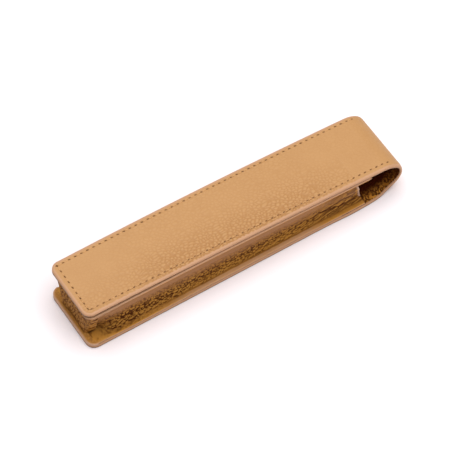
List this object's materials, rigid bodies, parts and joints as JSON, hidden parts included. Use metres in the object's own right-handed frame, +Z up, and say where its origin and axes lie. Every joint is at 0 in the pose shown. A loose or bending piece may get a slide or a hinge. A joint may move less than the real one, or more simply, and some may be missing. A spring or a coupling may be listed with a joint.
{
  "type": "pen sleeve",
  "caption": "Slim leather pen sleeve: a gusseted pocket on a stiffened back, whose strap bends round the open mouth into a full-length flap held by a hidden magnet.",
  "frame": {"origin": "Centre of the bounding box in plan, on the plane of the back's outer face, which the sleeve rests on.", "axes": "+X along the sleeve from the closed end to the mouth and bend, +Y across it, +Z up from the back to the flap."},
  "size_m": [0.165, 0.0342, 0.0242],
  "materials": {
    "tan_leather": "pebbled, satin",
    "brown_leather": "pebbled, satin",
    "board": "bonded board, matt",
    "closure_metal": "plated",
    "thread": "twisted thread"
  },
  "bodies": {
    "sleeve": {"back_leather": "tan_leather", "back_board": "board", "back_lining": "brown_leather", "near_gusset": "brown_leather", "far_gusset": "brown_leather", "end_gusset": "brown_leather", "front_leather": "tan_leather", "front_board": "board", "front_lining": "brown_leather", "front_keeper": "closure_metal"},
    "bend_1": {"bend_leather_1": "tan_leather", "bend_lining_1": "brown_leather"},
    "bend_2": {"bend_leather_2": "tan_leather", "bend_lining_2": "brown_leather"},
    "bend_3": {"bend_leather_3": "tan_leather", "bend_lining_3": "brown_leather"},
    "bend_4": {"bend_leather_4": "tan_leather", "bend_lining_4": "brown_leather"},
    "bend_5": {"bend_leather_5": "tan_leather", "bend_lining_5": "brown_leather"},
    "flap": {"flap_leather": "tan_leather", "flap_board": "board", "flap_lining": "brown_leather", "flap_magnet": "closure_metal", "flap_stitches": "thread"}
  },
  "joints": [
    {"name": "bend_fold_1", "type": "hinge", "parent": "sleeve", "child": "bend_1", "pos_m": [0.06755, 0, 0], "axis": [0, 1, 0], "range_deg": [0, 14.93]},
    {"name": "bend_fold_2", "type": "hinge", "parent": "bend_1", "child": "bend_2", "pos_m": [0.07579, 0, 0.00229], "axis": [0, 1, 0], "range_deg": [0, 29.85]},
    {"name": "bend_fold_3", "type": "hinge", "parent": "bend_2", "child": "bend_3", "pos_m": [0.08168, 0, 0.00849], "axis": [0, 1, 0], "range_deg": [0, 33.71]},
    {"name": "bend_fold_4", "type": "hinge", "parent": "bend_3", "child": "bend_4", "pos_m": [0.08237, 0, 0.01311], "axis": [0, 1, 0], "range_deg": [0, 37.56]},
    {"name": "bend_fold_5", "type": "hinge", "parent": "bend_4", "child": "bend_5", "pos_m": [0.08, 0, 0.01714], "axis": [0, 1, 0], "range_deg": [0, 36.72]},
    {"name": "flap_fold", "type": "hinge", "parent": "bend_5", "child": "flap", "pos_m": [0.07197, 0, 0.02028], "axis": [0, 1, 0], "range_deg": [0, 19.26]}
  ],
  "couplings": [
    {"joint": "bend_fold_1", "follows": "flap_fold", "ratio": 0.775},
    {"joint": "bend_fold_2", "follows": "flap_fold", "ratio": 1.55},
    {"joint": "bend_fold_3", "follows": "flap_fold", "ratio": 1.75},
    {"joint": "bend_fold_4", "follows": "flap_fold", "ratio": 1.95},
    {"joint": "bend_fold_5", "follows": "flap_fold", "ratio": 1.9062}
  ]
}
